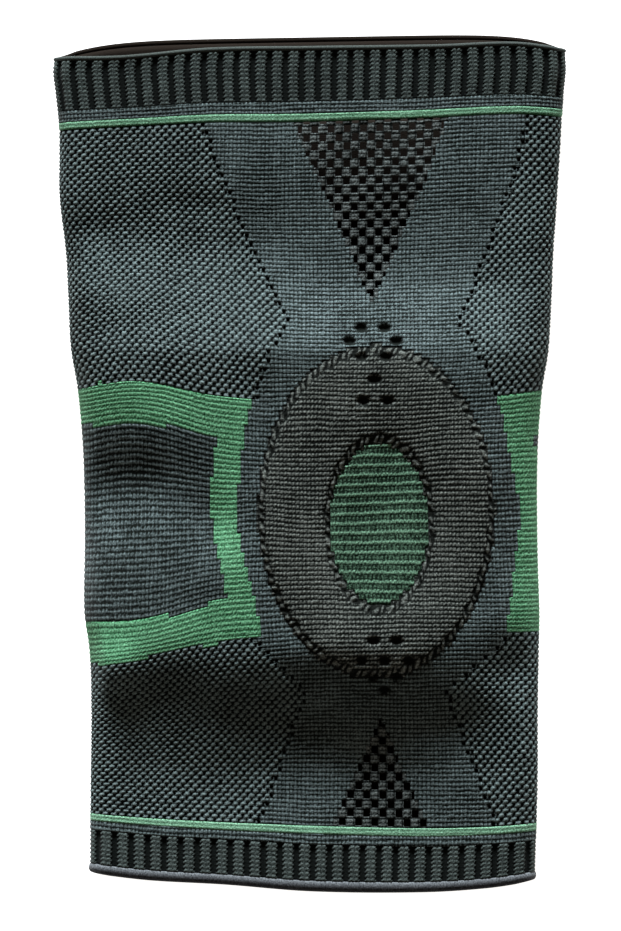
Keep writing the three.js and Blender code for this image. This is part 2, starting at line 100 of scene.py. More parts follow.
def smoothThrough(places, values, at):
    # cubic through the values, each slope taken from the two neighbours, straight on past the ends;
    # the values are one column for all the points, or a column for each
    places = np.asarray(places, float)
    values = np.asarray(values, float).reshape(len(places), -1)
    at = np.asarray(at, float)
    column = np.arange(len(at)) if values.shape[1] > 1 else 0
    last = len(places) - 1
    before = np.maximum(np.arange(last + 1) - 1, 0)
    after = np.minimum(np.arange(last + 1) + 1, last)
    slopes = (values[after] - values[before]) / (places[after] - places[before])[:, None]
    i = np.clip(np.searchsorted(places, at, side="right") - 1, 0, last - 1)
    step = places[i + 1] - places[i]
    t = np.clip((at - places[i]) / step, 0, 1)
    level = (2 * t**3 - 3 * t**2 + 1) * values[i, column] + (3 * t**2 - 2 * t**3) * values[i + 1, column]
    lean = (t**3 - 2 * t**2 + t) * slopes[i, column] + (t**3 - t**2) * slopes[i + 1, column]
    below = np.minimum(at - places[0], 0) * slopes[0, column]
    above = np.maximum(at - places[last], 0) * slopes[last, column]
    return level + lean * step + below + above


def foldsAt(y):
    up, left, right = zip(*sleeve["silhouette"])
    half = sleeve["width"] / 2
    share = y / sleeve["length"]
    return half * smoothThrough(up, left, share), half * smoothThrough(up, right, share)


def clothHeight(x, y):
    left, right = foldsAt(y)
    across = np.clip((x - left) / (right - left), 0, 1)
    up = y / sleeve["length"]
    falloff = smoothThrough(*zip(*sleeve["dome"]), across)
    rise = falloff * smoothThrough(*zip(*sleeve["profile"]), up)
    for dentAcross, dentUp, reachAcross, reachUp, height in sleeve["dents"]:
        away = ((across - dentAcross) / reachAcross)**2 + ((up - dentUp) / reachUp)**2
        rise += height * np.exp(-away) * np.minimum(1, falloff / sleeve["dentFade"])
    return sleeve["foldHeight"] + sleeve["kneeRise"] * rise


def pastOval(oval, x, y):
    # mm outside an oval's edge, negative inside it
    across = (x - oval["x"]) / (oval["width"] / 2)
    up = (y - oval["y"]) / (oval["length"] / 2)
    return (np.hypot(across, up) - 1) * (oval["width"] + oval["length"]) / 4


def padShare(x, y):
    # 0 at the window's edge and 1 at the ring's outer edge
    toOuter = -pastOval(pad, x, y)
    toWindow = pastOval(window, x, y)
    return np.clip(toWindow / np.maximum(toWindow + toOuter, 1e-6), 0, 1)


def padHeight(x, y):
    return pad["rise"] * np.sin(np.pi * padShare(x, y)).clip(0)**pad["flatness"]


def courseY(along, across, isFront):
    lines = np.array([line for _, line, _ in sleeve["courses"]])
    backs = np.array([back for _, _, back in sleeve["courses"]])
    front = np.array([smoothThrough(sleeve["stations"], line, across) for line in lines])
    bow = 1 - np.abs(2 * across - 1)**np.where(across < 0.5, *sleeve["backBend"])
    left, right = lines[:, :1], lines[:, -1:]
    behind = left + (right - left) * across + bow * (backs[:, None] - (left + right) / 2)
    places = [place for place, _, _ in sleeve["courses"]]
    return sleeve["length"] * smoothThrough(places, np.where(isFront, front, behind), along)


def tubePoint(turn, along, inset, padded=False):
    # turn goes once round the tube from the left fold over the front; inset is the depth under its face
    isFront = turn <= 0.5
    faceTurn = np.where(isFront, turn, 1 - turn)
    isLeft = faceTurn < 0.25
    fromFold = np.where(isLeft, faceTurn, 0.5 - faceTurn)
    angle = math.pi / 2 * np.minimum(1, fromFold / sleeve["foldTurn"])
    radius = sleeve["foldHeight"] / 2
    bend = radius * (1 - np.cos(angle))
    runShare = np.maximum(0, fromFold - sleeve["foldTurn"]) / (0.5 - 2 * sleeve["foldTurn"])
    left, right = foldsAt(sleeve["length"] * (along - 0.5))
    nearShare = bend / (right - left) + runShare * (1 - sleeve["foldHeight"] / (right - left))
    across = np.where(isLeft, nearShare, 1 - nearShare)
    y = courseY(along, across, isFront)
    left, right = foldsAt(y)
    outerX = left + (right - left) * across
    x = outerX + np.where(isLeft, inset, -inset) * np.cos(angle)
    lift = (radius - inset) * np.sin(angle)
    rise = clothHeight(outerX, y) - sleeve["foldHeight"]
    if padded:
        rise = rise + padHeight(outerX, y)
    z = np.where(isFront, radius + lift + rise, np.maximum(0, radius - lift))
    return np.stack([x, y, z], axis=-1)


def facePoints(turns, alongs, inset, padded=False):
    # the same for a grid of any shape, all at one depth
    depth = np.full(turns.size, float(inset))
    return tubePoint(turns.ravel(), alongs.ravel(), depth, padded).reshape(*turns.shape, 3)


def onFloor(points):
    points[..., 2] = np.maximum(points[..., 2], 0)
    return points


# the lattice of stitches: wales run along the sleeve and courses across it

knit = {
    "wales": 264,              # round the whole tube
    "frontWalesLow": 113,      # on the face at the calf end
    "frontWalesHigh": 132,     # and at the thigh end
    "frontParts": 3,           # quads across a stitch in front
    "backParts": 2,            # and behind
    "courseParts": 3,          # quads along a stitch
    "kneecapWale": 16,         # the wale that runs over the kneecap, from the middle of the face
    "borderRows": {"lower": 2, "upper": 3},
    "stripeRows": 2,
    "proud": 0.15,             # mm, the crests above the face of the solids
    "leastCloth": 0.3,         # mm, what is left under the deepest pit
    "innerRelief": 0.6,        # what the smooth inner side counts as
    "seamReach": 0.4,          # courses, half the dark line under the upper stripe
    "seamFloor": 0.15,         # the share of the yarn's height that is left in it
    # up along the sleeve, then the height of one stitch in mm
    "pitch": [(-0.5, 1.50), (-0.25, 1.50), (-0.12, 1.59), (0.06, 1.58), (0.16, 1.44), (0.5, 1.44)],
}


def turnOfWale(wale, along):
    faceWales = knit["frontWalesLow"] + (knit["frontWalesHigh"] - knit["frontWalesLow"]) * along
    fromMiddle = wale - knit["wales"] / 2
    past = np.abs(fromMiddle) - faceWales / 2
    onFront = 0.25 + 0.25 * fromMiddle / (faceWales / 2)
    behind = 0.25 + np.sign(fromMiddle) * (0.25 + 0.25 * past / ((knit["wales"] - faceWales) / 2))
    return np.mod(np.where(past <= 0, onFront, behind), 1)


def levelsOf(end):
    heights = [edges[end][name] for name in ("hem", "cuff", "border", "stripe")]
    shares = np.concatenate([[0], np.cumsum(heights)]) / sleeve["length"]
    return shares if end == "lower" else 1 - shares


def evenCourses(low, high):
    # levels between two ends, a stitch apart along the cloth over the kneecap
    along = np.linspace(low, high, 600)
    wale = np.full(len(along), knit["wales"] / 2 + knit["kneecapWale"])
    points = facePoints(turnOfWale(wale, along), along, 0)
    steps = np.linalg.norm(np.diff(points, axis=0), axis=1)
    pitch = np.interp(points[:-1, 1] / sleeve["length"], *zip(*knit["pitch"]))
    counted = np.concatenate([[0], np.cumsum(steps / pitch)])
    rows = round(counted[-1])
    parts = np.linspace(0, counted[-1], rows * knit["courseParts"] + 1)
    return np.interp(parts, counted, along), rows


def stitchLattice():
    parts = knit["courseParts"]
    rows = knit["borderRows"]
    lower, upper = levelsOf("lower"), levelsOf("upper")
    body, bodyRows = evenCourses(lower[4], upper[4])
    pieces = [
        np.linspace(lower[2], lower[3], rows["lower"] * parts + 1)[:-1],
        np.linspace(lower[3], lower[4], knit["stripeRows"] * parts + 1)[:-1],
        body[:-1],
        np.linspace(upper[4], upper[3], knit["stripeRows"] * parts + 1)[:-1],
        np.linspace(upper[3], upper[2], rows["upper"] * parts + 1),
    ]
    alongs = np.concatenate(pieces)
    rowsBelow = [rows["lower"], knit["stripeRows"], bodyRows, knit["stripeRows"]]
    wales = []
    starts = []
    for wale in range(knit["wales"]):
        isFront = abs(wale + 0.5 - knit["wales"] / 2) < knit["frontWalesHigh"] / 2 + 2
        count = knit["frontParts"] if isFront else knit["backParts"]
        starts.append(len(wales))
        wales.extend(wale + part / count for part in range(count))
    courses = np.arange(len(alongs)) / parts
    return {
        "wale": np.array(wales), "waleStarts": np.array(starts),
        "course": courses, "courseStarts": np.arange(0, len(alongs), parts),
        "along": alongs, "limits": np.cumsum(rowsBelow),
    }


def latticePoints(lattice, inset, padded=False):
    wale, along = np.meshgrid(lattice["wale"], lattice["along"], indexing="ij")
    return facePoints(turnOfWale(wale, along), along, inset, padded)


def gridNormals(points):
    aroundStep = np.roll(points, -1, axis=0) - np.roll(points, 1, axis=0)
    alongStep = np.gradient(points, axis=1)
    normals = np.cross(aroundStep, alongStep)
    return normals / np.maximum(np.linalg.norm(normals, axis=2, keepdims=True), 1e-9)


# from arrays to closed walls

def meshFrom(name, vertices, loopCounts, faceLoops, attributes, loopUv):
    mesh = bpy.data.meshes.new(name)
    mesh.vertices.add(len(vertices))
    mesh.vertices.foreach_set("co", (vertices * mm).astype(np.float32).ravel())
    mesh.loops.add(len(faceLoops))
    mesh.loops.foreach_set("vertex_index", faceLoops.astype(np.int32))
    mesh.polygons.add(len(loopCounts))
    starts = np.concatenate([[0], np.cumsum(loopCounts)[:-1]])
    mesh.polygons.foreach_set("loop_start", starts.astype(np.int32))
    mesh.update(calc_edges=True)
    for label, values in attributes.items():
        mesh.attributes.new(label, "FLOAT", "POINT").data.foreach_set("value", values.astype(np.float32))
    uv = mesh.uv_layers.new(name="stitches")
    uv.data.foreach_set("uv", loopUv.astype(np.float32).ravel())
    piece = bpy.data.objects.new(name, mesh)
    bpy.context.scene.collection.objects.link(piece)
    return piece


def rimFaces(cells, waleStarts, waleEnds, courseStarts, fineId, coarseId):
    # the faces that close a wall where a cell has no neighbour, first along the wales, then the courses
    around = len(fineId)
    rims = []
    beyond = np.roll(cells, -1, axis=0)
    for i, j in np.argwhere(cells != beyond):
        run = fineId[waleEnds[i] % around, courseStarts[j]:courseStarts[j + 1] + 1]
        nextCell = (i + 1) % len(waleStarts)
        rim = [run[0], coarseId[nextCell, j], coarseId[nextCell, j + 1], *run[:0:-1]]
        rims.append(rim if cells[i, j] else rim[::-1])
    framed = np.pad(cells, ((0, 0), (1, 1)))
    for i, j in np.argwhere(framed[:, :-1] != framed[:, 1:]):
        columns = np.arange(waleStarts[i], waleEnds[i] + 1) % around
        nextCell = (i + 1) % len(waleStarts)
        rim = [*fineId[columns, courseStarts[j]], coarseId[nextCell, j], coarseId[i, j]]
        rims.append(rim if framed[i, j] else rim[::-1])
    return rims


def cellQuads(ids, there):
    nextIds = np.roll(ids, -1, axis=0)
    corners = np.stack([ids[:, :-1], nextIds[:, :-1], nextIds[:, 1:], ids[:, 1:]], axis=-1)
    return corners[there]


def unbrokenWale(loopWale, counts, period):
    # a face over the left fold, where the count starts again, keeps its corners together
    starts = np.concatenate([[0], np.cumsum(counts)[:-1]])
    reach = np.maximum.reduceat(loopWale, starts) - np.minimum.reduceat(loopWale, starts)
    crosses = np.repeat(reach > period / 2, counts)
    return loopWale + period * (crosses & (loopWale < period / 2))


def closedWall(name, outer, inner, waleAt, courseAt, waleStarts, courseStarts, cells, relief):
    # outer is the fine face; inner has a point at each cell's corner; cells says which cells are there
    around, rows = outer.shape[:2]
    waleEnds = np.append(waleStarts[1:], around)
    waleCell = np.repeat(np.arange(len(waleStarts)), waleEnds - waleStarts)
    courseCell = np.repeat(np.arange(len(courseStarts) - 1), np.diff(courseStarts))
    fineId = np.arange(around * rows).reshape(around, rows)
    coarseId = around * rows + np.arange(len(waleStarts) * len(courseStarts)).reshape(len(waleStarts), -1)
    faces = [cellQuads(fineId, cells[waleCell][:, courseCell]), cellQuads(coarseId, cells)[:, ::-1]]
    rims = rimFaces(cells, waleStarts, waleEnds, courseStarts, fineId, coarseId)
    loops = np.concatenate([*(group.ravel() for group in faces), *(np.array(rim) for rim in rims)])
    counts = np.concatenate([np.full(sum(len(group) for group in faces), 4), [len(rim) for rim in rims]])
    counts = counts.astype(int)
    wale = np.concatenate([np.repeat(waleAt, rows), np.repeat(waleAt[waleStarts], len(courseStarts))])
    course = np.concatenate([np.tile(courseAt, around), np.tile(courseAt[courseStarts], len(waleStarts))])
    loopWale = unbrokenWale(wale[loops], counts, round(waleAt[-1] + 0.5))
    points = np.concatenate([outer.reshape(-1, 3), inner.reshape(-1, 3)])
    heights = np.concatenate([relief.ravel(), np.full(inner.size // 3, knit["innerRelief"])])
    used, local = np.unique(loops, return_inverse=True)
    values = {"relief": heights[used], "inside": (used >= around * rows).astype(float)}
    piece = meshFrom(name, points[used], counts, local, values, np.stack([loopWale, course[loops]], axis=-1))
    piece.data.polygons.foreach_set("use_smooth", np.ones(len(counts), bool))
    print("  made", name, len(counts), "faces")
    return piece


# how high the yarn stands in each kind of stitch, from 0 in the gaps to 1 on the crests

moss = {"halfWidth": 0.92, "halfHeight": 0.60, "lean": 0.05, "crown": 0.55}       # in stitches
ridges = {"zigzag": 0.16, "reach": 0.33, "grainFloor": 0.18, "grain": 0.42}       # in courses
blockEdge = 0.12               # the less, the squarer the blocks of the open work


def wave(value):
    # 0 at whole numbers and 1 half way between them
    return 0.5 - 0.5 * np.cos(2 * np.pi * value)


def rowKnit(wale, course):
    # rows of level bars: a thin sunk line between the rows and a pit beside each stitch, both painted dark
    # as shade
    row = wave(course + 0.06 * np.cos(2 * np.pi * wale))**0.7
    stitch = 0.52 + 0.48 * wave(wale)**0.6
    tie = 0.38 * wave(wale)**2                            # what holds a row to the next one
    return np.maximum(row * stitch, tie)


def knobKnit(wale, course):
    # rows of slanted knobs
    row = wave(course + 0.08 * np.sin(2 * np.pi * wale))
    return (0.15 + 0.85 * row) * (0.55 + 0.45 * wave(wale))


def scallopKnit(wale, course):
    # each stitch a small crescent that hangs from the row above
    row = wave(course + 0.24 * wave(wale))**0.8
    return 0.1 + 0.9 * row * (0.66 + 0.34 * wave(wale))


def mossKnit(wale, course):
    # leaning ovals on every other stitch, set like bricks, close together
    height = np.zeros_like(wale)
    for shift in (0, 1):
        fromWale = np.mod(wale - 0.5 - shift + 1, 2) - 1
        fromCourse = np.mod(course - 0.5 - shift + 1, 2) - 1 - moss["lean"] * fromWale
        away = (fromWale / moss["halfWidth"])**2 + (fromCourse / moss["halfHeight"])**2
        height = np.maximum(height, np.clip(1 - away, 0, 1)**moss["crown"])
    return height


def ridgedKnit(wale, course):
    # one raised zigzag row in every two courses, and flat grainy ones between
    zigzag = ridges["zigzag"] * (2 * wave(wale) - 1)
    fromRidge = np.abs(np.mod(course + zigzag, 2) - 1)
    ridge = np.exp(-(fromRidge / ridges["reach"])**2) * (0.8 + 0.2 * wave(wale))
    grain = ridges["grainFloor"] + ridges["grain"] * wave(wale + 0.5) * wave(course + 0.5)
    return np.maximum(ridge, grain)


def openKnit(wale, course):
    # blocks of two by two stitches, each a stack of two bars with two knobs
    bar = wave(course + 0.16 * wave(wale))**0.7 * (0.6 + 0.4 * wave(wale))
    return (0.3 + 0.7 * bar) * (wave(wale / 2) * wave(course / 2))**blockEdge


def stripeKnit(wale, course):
    # a plait of low arrowheads
    arrow = 0.35 * np.abs(2 * np.mod(wale, 1) - 1)
    return 0.42 + 0.58 * wave(course - arrow) * (0.7 + 0.3 * wave(2 * wale))


zones = {                      # stitch, its relief in mm, the record's slot and how far its colour is darkened, which for the back panel and the thigh stripe is painted shade
    "lower_border": {"stitch": rowKnit, "relief": 0.35, "slot": "plain_knit"},
    "lower_stripe": {"stitch": stripeKnit, "relief": 0.35, "slot": "stripe_knit"},
    "calf_panel": {"stitch": mossKnit, "relief": 0.75, "slot": "moss_knit"},
    "thigh_panel": {"stitch": mossKnit, "relief": 0.75, "slot": "moss_knit"},
    "front_band": {"stitch": rowKnit, "relief": 0.38, "slot": "plain_knit"},
    # the back panel's tone darkens its colour as painted shade
    "back_panel": {"stitch": rowKnit, "relief": 0.38, "slot": "plain_knit", "tone": 0.9},
    "side_frame": {"stitch": scallopKnit, "relief": 0.42, "slot": "green_knit"},
    "patella_ring": {"stitch": knobKnit, "relief": 0.5, "slot": "pad_knit", "tone": 0.97},
    "patella_window": {"stitch": ridgedKnit, "relief": 0.4, "slot": "window_knit"},
    "upper_vent": {"stitch": openKnit, "relief": 0.6, "slot": "open_knit"},
    "lower_vent": {"stitch": openKnit, "relief": 0.6, "slot": "open_knit"},
    # this tone darkens the thigh stripe's colour as painted shade
    "upper_stripe": {"stitch": stripeKnit, "relief": 0.35, "slot": "stripe_knit", "tone": 0.8},
    "upper_border": {"stitch": rowKnit, "relief": 0.35, "slot": "plain_knit"},
}
# from the calf end up; None stands for the body between, whose zones come from the solids
rowOrder = ["lower_border", "lower_stripe", None, "upper_stripe", "upper_border"]


def zoneTree():
    # the faces of the CAD nodes that share the lattice, and the zone that each face belongs to
    vertices, triangles, owners = [], [], []
    for name in zones:
        if name in rowOrder:
            continue
        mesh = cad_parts[name].data
        mesh.calc_loop_triangles()
        offset = len(vertices)
        vertices.extend(vertex.co / mm for vertex in mesh.vertices)
        triangles.extend([offset + i for i in triangle.vertices] for triangle in mesh.loop_triangles)
        owners.extend([name] * len(mesh.loop_triangles))
    return BVHTree.FromPolygons(vertices, triangles), owners


def zoneOfStitches(lattice):
    # the CAD node that each stitch of the body lies in; the edge rows go by their number
    tree, owners = zoneTree()
    waleMiddle = np.arange(knit["wales"]) + 0.5
    courseEnds = lattice["along"][lattice["courseStarts"]]
    courseMiddle = (courseEnds[:-1] + courseEnds[1:]) / 2
    wale, along = np.meshgrid(waleMiddle, courseMiddle, indexing="ij")
    middles = facePoints(turnOfWale(wale, along), along, sleeve["cloth"] / 2)
    zone = np.full(wale.shape, "", dtype=object)
    limits = [0, *lattice["limits"], len(courseMiddle)]
    for name, begin, end in zip(rowOrder, limits[:-1], limits[1:]):
        if name:
            zone[:, begin:end] = name
            continue
        for i, j in np.ndindex(len(waleMiddle), end - begin):
            zone[i, begin + j] = owners[tree.find_nearest(Vector(middles[i, begin + j]))[2]]
    return zone


# what hand and wear have done to the cloth: a random seed, its reach, and the stitches from value to value

pulls = {
    "wale": (1, 0.06, 1), "waleWide": (3, 0.15, 12),              # reach in stitches
    "course": (2, 0.06, 1), "courseWide": (4, 0.2, 12),
    "lumps": (5, 0.2, 12),                                        # reach in mm
    "lumpsFrom": 12,           # courses from either end to the full lumps
}


def smoothStep(share):
    return share**2 * (3 - 2 * share)


def unevenness(lattice, seed, reach, span):
    # a soft random field with a value every few stitches
    around, rows = knit["wales"] // span, len(lattice["courseStarts"]) // span + 2
    values = np.random.default_rng(seed).normal(0, 1, (around, rows + 1))
    wale, acrossShare = np.divmod(lattice["wale"] / span, 1)
    course, alongShare = np.divmod(lattice["course"] / span, 1)
    wale, course = wale.astype(int) % around, course.astype(int)
    nextWale = (wale + 1) % around
    acrossShare, alongShare = smoothStep(acrossShare)[:, None], smoothStep(alongShare)
    low = values[wale][:, course] * (1 - alongShare) + values[wale][:, course + 1] * alongShare
    high = values[nextWale][:, course] * (1 - alongShare) + values[nextWale][:, course + 1] * alongShare
    return reach * (low * (1 - acrossShare) + high * acrossShare)


def pulledPlaces(lattice):
    # where in its pattern each point of the lattice is
    wale, course = np.meshgrid(lattice["wale"], lattice["course"], indexing="ij")
    wale = wale + unevenness(lattice, *pulls["wale"]) + unevenness(lattice, *pulls["waleWide"])
    course = course + unevenness(lattice, *pulls["course"]) + unevenness(lattice, *pulls["courseWide"])
    return wale, course


def softLumps(lattice):
    fromEnds = np.minimum(lattice["course"], lattice["course"][-1] - lattice["course"])
    return unevenness(lattice, *pulls["lumps"]) * np.minimum(1, fromEnds / pulls["lumpsFrom"])


# single features of the front: the loops along the kneecap's ovals, and the eyelets over and under it

loops = {
    "width": 2.7, "rise": 0.2, "drop": 0.6,    # mm
    "ringCount": 96, "windowCount": 44,
    "slant": 0.22,
    "zigzag": 0.35,            # mm from side to side, every other loop
    "wander": 0.2,             # and at its own pace, so that no two are alike
    "strandHalf": 0.45,        # half a loop's width, as a share
    "tone": 0.7,               # darker than the cloth beside them
}
eyelets = {
    "width": 4.0, "length": 2.7, "depth": 1.3,
    "places": [
        (16.9, 44.4), (24.5, 44.4), (13.0, 40.1), (28.4, 40.1), (16.9, 34.8), (25.0, 34.8),
        (21.2, 27.3), (17.6, 20.4), (25.5, 20.4), (20.9, -58.2), (28.4, -58.2), (16.9, -64.6),
        (24.5, -64.6), (32.4, -64.6), (20.7, -70.0), (28.4, -70.0), (24.5, -74.3)],
}
borderPit = 1.3                # how sharply the small holes beside the plain band are cut


def edgeLoops(points, oval, side, count):
    # a chain of larger twisted loops inside or outside an oval's edge: its share of the cloth, its height
    across = (points[..., 0] - oval["x"]) / (oval["width"] / 2)
    up = (points[..., 1] - oval["y"]) / (oval["length"] / 2)
    place = np.arctan2(up, across) / (2 * np.pi) * count
    zigzag = loops["zigzag"] * np.cos(np.pi * place) + loops["wander"] * np.sin(1.7 * place)
    fromLine = pastOval(oval, points[..., 0], points[..., 1]) - side * loops["width"] / 2 + zigzag
    isThere = np.exp(-(fromLine / (loops["width"] / 2))**6)
    strand = np.sqrt(np.clip(1 - (fromLine / (loops["strandHalf"] * loops["width"]))**2, 0, 1))
    twist = wave(place + loops["slant"] * fromLine + loops["wander"] * np.sin(2.9 * place))**0.6
    return isThere, loops["tone"] * strand * twist


def withEdgeLoops(height, lift, points):
    for oval, side, count in ((pad, -1, loops["ringCount"]), (window, 1, loops["windowCount"])):
        isThere, strand = edgeLoops(points, oval, side, count)
        height = height * (1 - isThere) + strand * isThere
        lift = lift + isThere * (loops["rise"] * strand - loops["drop"] * (1 - strand))
    return height, lift


def eyeletPits(points):
    # 1 in the middle of an eyelet and 0 away from it
    share = np.zeros(points.shape[:2])
    for x, y in eyelets["places"]:
        across = (points[..., 0] - x) / (eyelets["width"] / 2)
        up = (points[..., 1] - y) / (eyelets["length"] / 2)
        share = np.maximum(share, np.exp(-(across**2 + up**2)**2))
    return share * (points[..., 2] > sleeve["foldHeight"] / 2)


def borderPits(lattice, zone):
    # the small holes where the plain band meets the moss stitch, one in every second course
    isMoss = (zone == "thigh_panel") | (zone == "calf_panel")
    beside = (zone == "front_band") & (np.roll(isMoss, 1, axis=0) | np.roll(isMoss, -1, axis=0))
    beside[:, 1::2] = False
    waleCell = np.floor(lattice["wale"] + 1e-6).astype(int)
    courseCell = np.minimum(np.floor(lattice["course"] + 1e-6).astype(int), zone.shape[1] - 1)
    hollow = np.sqrt(wave(lattice["wale"])[:, None] * wave(lattice["course"]))
    return np.minimum(1, borderPit * hollow) * beside[waleCell][:, courseCell]


def openWorkCells(lattice, cells):
    # finer cells, of which every other block of two by two stitches keeps only its rim
    wale, course = lattice["wale"], lattice["course"]
    waleCell = np.floor(wale + 1e-6).astype(int)
    courseCell = np.floor(course[:-1] + 1e-6).astype(int)
    there = cells[waleCell][:, courseCell]
    w, c = np.meshgrid(np.mod(wale, 4), np.mod(course[:-1], 4), indexing="ij")
    pastRim = (np.mod(w, 2) > 0.5 / knit["frontParts"]) & (np.mod(c, 2) > 0.5 / knit["courseParts"])
    isHole = (np.floor(w / 2) != np.floor(c / 2)) & pastRim
    return there & ~isHole, np.arange(len(wale)), np.arange(len(course))


def halvesOf(name, cells):
    # the largest piece is parted down the middle of the back
    if name != "thigh_panel":
        return {"": cells}
    isLeft = np.arange(knit["wales"])[:, None] < knit["wales"] / 2
    return {"_left": cells & isLeft, "_right": cells & ~isLeft}


def knitZones():
    # a wall for each zone, with the name of the node that it stands for
    lattice = stitchLattice()
    cloth = latticePoints(lattice, 0)
    raised = latticePoints(lattice, 0, padded=True)
    inside = latticePoints(lattice, sleeve["cloth"])
    clothNormals, raisedNormals = gridNormals(cloth), gridNormals(raised)
    zone = zoneOfStitches(lattice)
    print("lattice:", zone.shape, "stitches")
    wale, course = pulledPlaces(lattice)
    lumps = softLumps(lattice)
    pits = np.maximum(eyeletPits(cloth), borderPits(lattice, zone))
    fromSeam = np.abs(lattice["course"] - lattice["limits"][2]) / knit["seamReach"]
    seamLine = np.clip(fromSeam, knit["seamFloor"], 1)
    made = []
    for name, kind in zones.items():
        isPad = name == "patella_ring"
        base, normals = (raised, raisedNormals) if isPad else (cloth, clothNormals)
        height = kind["stitch"](wale, course) * seamLine * (1 - pits)
        lift = kind["relief"] * (height - 1) + knit["proud"] + lumps - eyelets["depth"] * pits
        if isPad:
            height, lift = withEdgeLoops(height, lift, raised)
        lift = np.maximum(lift, knit["leastCloth"] - sleeve["cloth"])
        outer = onFloor(base + normals * lift[..., None])
        # tone darkens only the colour; for the back panel and the thigh stripe it is painted shade
        relief = height * kind.get("tone", 1)
        cells, waleStarts, courseStarts = zone == name, lattice["waleStarts"], lattice["courseStarts"]
        if kind["stitch"] is openKnit:
            cells, waleStarts, courseStarts = openWorkCells(lattice, cells)
        inner = inside[waleStarts][:, courseStarts]
        for side, half in halvesOf(name, cells).items():
            piece = closedWall(name + side + "_knit", outer, inner, lattice["wale"], lattice["course"],
                               waleStarts, courseStarts, half, relief)
            made.append((name, piece))
    return made


def wallRound(name, turns, alongs, lift, wale, course, waleStep, courseStep, relief):
    # a wall right round the tube, lifted from the cloth's face, with a cell every few points
    face = facePoints(turns, alongs, 0)
    inside = facePoints(turns, alongs, sleeve["cloth"])
    outer = onFloor(face + gridNormals(face) * lift[..., None])
    waleStarts = np.arange(0, len(wale), waleStep)
    courseStarts = np.arange(0, len(course), courseStep)
    cells = np.ones((len(waleStarts), len(courseStarts) - 1), bool)
    inner = inside[waleStarts][:, courseStarts]
    return closedWall(name, outer, inner, wale, course, waleStarts, courseStarts, cells, relief)


# the ribbed cuffs: grey bars of stacked stitches over grooves painted dark as shade

cuffs = {
    "upper_cuff": {"end": "upper", "ribs": 66, "courses": 12, "tone": 0.92},
    "lower_cuff": {"end": "lower", "ribs": 56, "courses": 8, "tone": 1.0},
    "ribWales": 4,             # stitches that one rib and its groove take
    "parts": 10,               # quads across them
    "courseParts": 3,
    "grooveShare": 0.36,       # of a rib and its groove
    "grooveDepth": 0.9,        # mm
    "barRelief": 0.3,          # mm, between a bar's stitches
    "arch": 0.2,               # courses that each stitch's two lobes hang down
    "crease": 0.35,            # how dark the line between the lobes is painted, as painted shade
    "creaseReach": 0.2,
    "side": 0.12,              # the bar's side, as a share of a rib
    "sideOut": 0.035,          # how far it starts before the groove ends
    "serration": 0.05,         # how far a stitch stands out of the side
    "barFloor": 0.42,          # the bar's tone between its stitches
}


def ribbedCuff(name):
    # the rib pattern goes round at an even pace, from the left fold
    cuff = cuffs[name]
    low, high = sorted(levelsOf(cuff["end"])[1:3])
    place = np.arange(cuff["ribs"] * cuffs["parts"]) / cuffs["parts"]
    course = np.linspace(0, cuff["courses"], cuff["courses"] * cuffs["courseParts"] + 1)
    rib, row = np.meshgrid(place, course, indexing="ij")
    grooveHalf = cuffs["grooveShare"] / 2
    fromGroove = np.abs(np.mod(rib + 0.5, 1) - 0.5)
    inBar = (fromGroove - grooveHalf) / (0.5 - grooveHalf)
    lobes = wave(row + cuffs["arch"] * np.cos(2 * np.pi * inBar))
    stack = lobes * (1 - cuffs["crease"] * np.exp(-((inBar - 1) / cuffs["creaseReach"])**2))
    intoBar = fromGroove - grooveHalf + cuffs["sideOut"] + cuffs["serration"] * stack
    bar = smoothStep(np.clip(intoBar / cuffs["side"], 0, 1))
    lift = knit["proud"] - cuffs["grooveDepth"] * (1 - bar) - cuffs["barRelief"] * (1 - stack) * bar
    relief = cuff["tone"] * bar * (cuffs["barFloor"] + (1 - cuffs["barFloor"]) * stack)
    along = low + (high - low) * row / cuff["courses"]
    return wallRound(name + "_knit", np.mod(rib / cuff["ribs"], 1), along, lift, place * cuffs["ribWales"],
                     course, cuffs["parts"] // 2, cuffs["courseParts"], relief)


# the hems: rolled edges of fine yarn

hems = {
    "upper_hem": {"end": "upper", "swell": 0.3},
    "lower_hem": {"end": "lower", "swell": 0.35},
    "parts": 2,                # points round the edge for each stitch
    "rows": 8,                 # quads over the roll
    "courses": 2,              # stitches that they stand for
    "rollMiddle": 0.45,        # where the roll is thickest, from the cuff to the free edge
    "rollHalf": 0.55,          # how far from there it runs out
    "crimp": 0.06,             # mm, from stitch to stitch
    "crimpTone": 0.08,
}


def rolledHem(name):
    hem = hems[name]
    levels = levelsOf(hem["end"])
    share = np.linspace(0, 1, hems["rows"] + 1)           # from the cuff to the free edge
    if hem["end"] == "lower":
        share = share[::-1]
    roll = np.sqrt(np.clip(1 - ((share - hems["rollMiddle"]) / hems["rollHalf"])**2, 0, 1))
    around = knit["wales"] * hems["parts"]
    turn = np.arange(around) / around
    turns, alongs = np.meshgrid(turn, levels[1] + (levels[0] - levels[1]) * share, indexing="ij")
    crimp = hems["crimp"] * np.cos(2 * np.pi * turns * knit["wales"])
    lift = (sleeve["cloth"] / 2 + hem["swell"]) * (roll - 1) + hem["swell"] + crimp
    # the calf hem is painted darker to its free edge, as painted shade on its side away from the light; the
    # thigh hem is pale in front and dark brown behind, brown yarn darkened further by painted shade
    shade = 1 - share if hem["end"] == "lower" else turns < 0.5
    relief = shade * np.ones_like(turns) - hems["crimpTone"] * (crimp < 0)
    course = np.linspace(0, hems["courses"], len(share))
    return wallRound(name + "_roll", turns, alongs, lift, turn * knit["wales"], course,
                     2 * hems["parts"], hems["rows"], relief)


# materials

def linear(hexColour):
    channels = [int(hexColour[i:i + 2], 16) / 255 for i in (1, 3, 5)]
    return tuple(c / 12.92 if c <= 0.04045 else ((c + 0.055) / 1.055)**2.4 for c in channels) + (1.0,)


